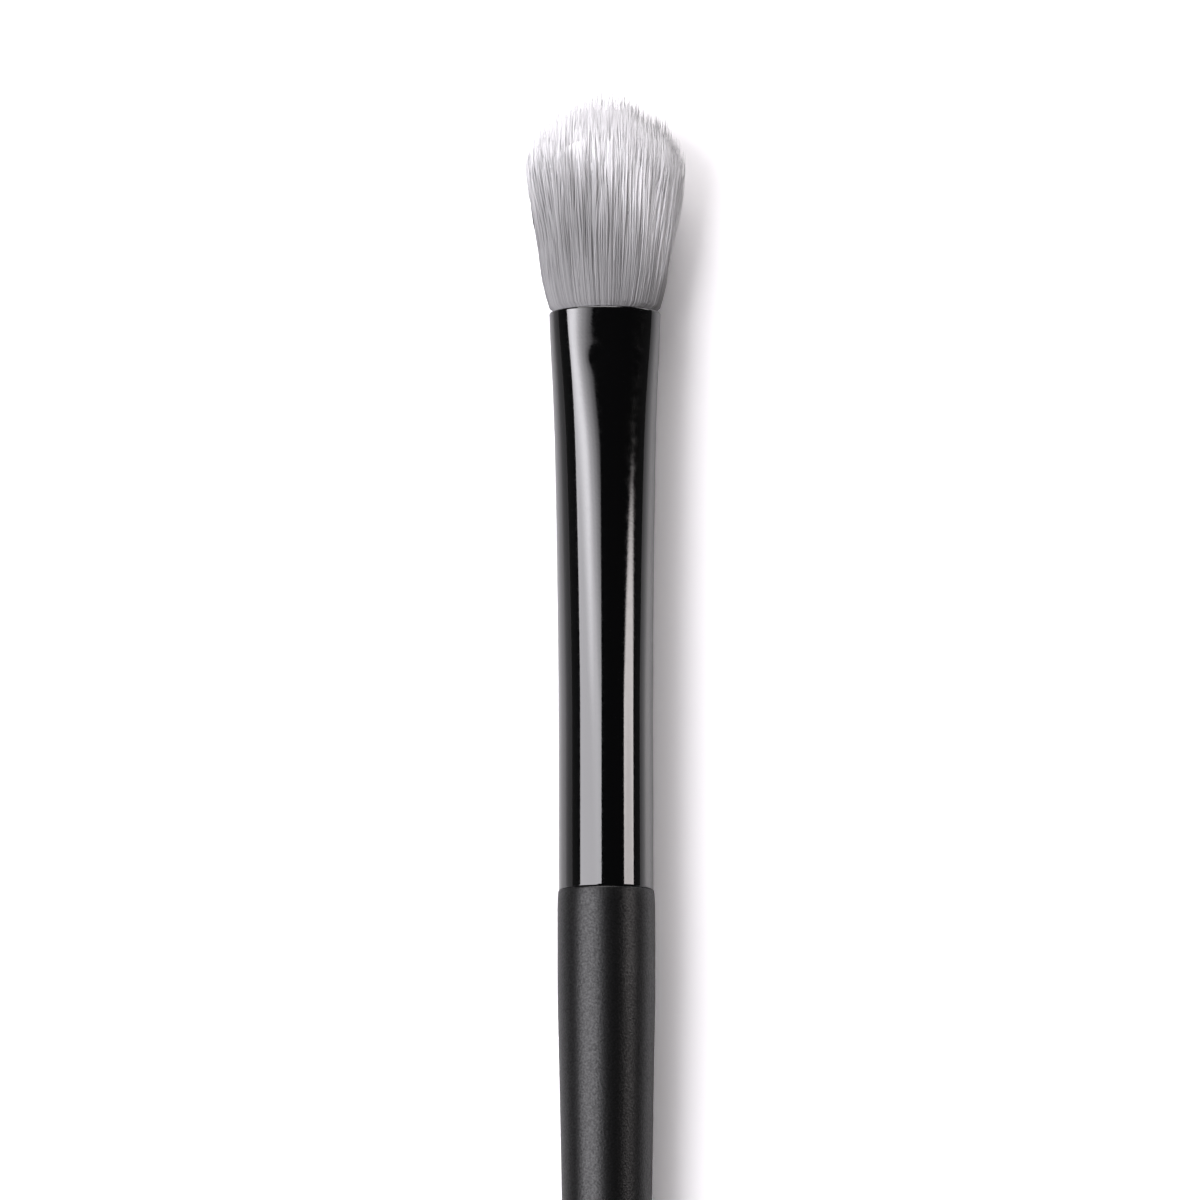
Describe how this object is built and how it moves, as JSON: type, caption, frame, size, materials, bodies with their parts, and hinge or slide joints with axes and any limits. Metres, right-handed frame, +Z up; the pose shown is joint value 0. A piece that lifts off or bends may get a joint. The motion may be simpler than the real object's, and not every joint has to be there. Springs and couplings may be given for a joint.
{
  "type": "eyeshadow brush",
  "caption": "Slim eyeshadow brush: tapered satin black wooden handle, gloss black ferrule with an oval mouth, and a domed grey tuft with white tips.",
  "frame": {"origin": "under the middle of the brush's length and width, on the surface that it lies on", "axes": "+Y along the brush from the tail to the tuft, X along the wide side of the ferrule's oval mouth, +Z up from the surface. The brush lies on its tail, its belly and the tuft, so its axis rises 0.63 degrees towards the tuft."},
  "size_m": [0.01, 0.1762, 0.0074],
  "materials": {
    "satin_black_lacquer": "satin black lacquer on turned wood",
    "gloss_black_enamel": "gloss black enamel on drawn aluminium",
    "bristle_fibre": "soft grey fibres with white tips",
    "binding_thread": "matte undyed thread",
    "cured_epoxy": "gloss amber epoxy",
    "wood_adhesive": "matte dried adhesive"
  },
  "bodies": {
    "root": {"handle": "satin_black_lacquer", "ferrule": "gloss_black_enamel", "bristle_tuft": "bristle_fibre", "knot_thread": "binding_thread", "root_epoxy": "cured_epoxy", "tenon_adhesive": "wood_adhesive"}
  },
  "joints": []
}
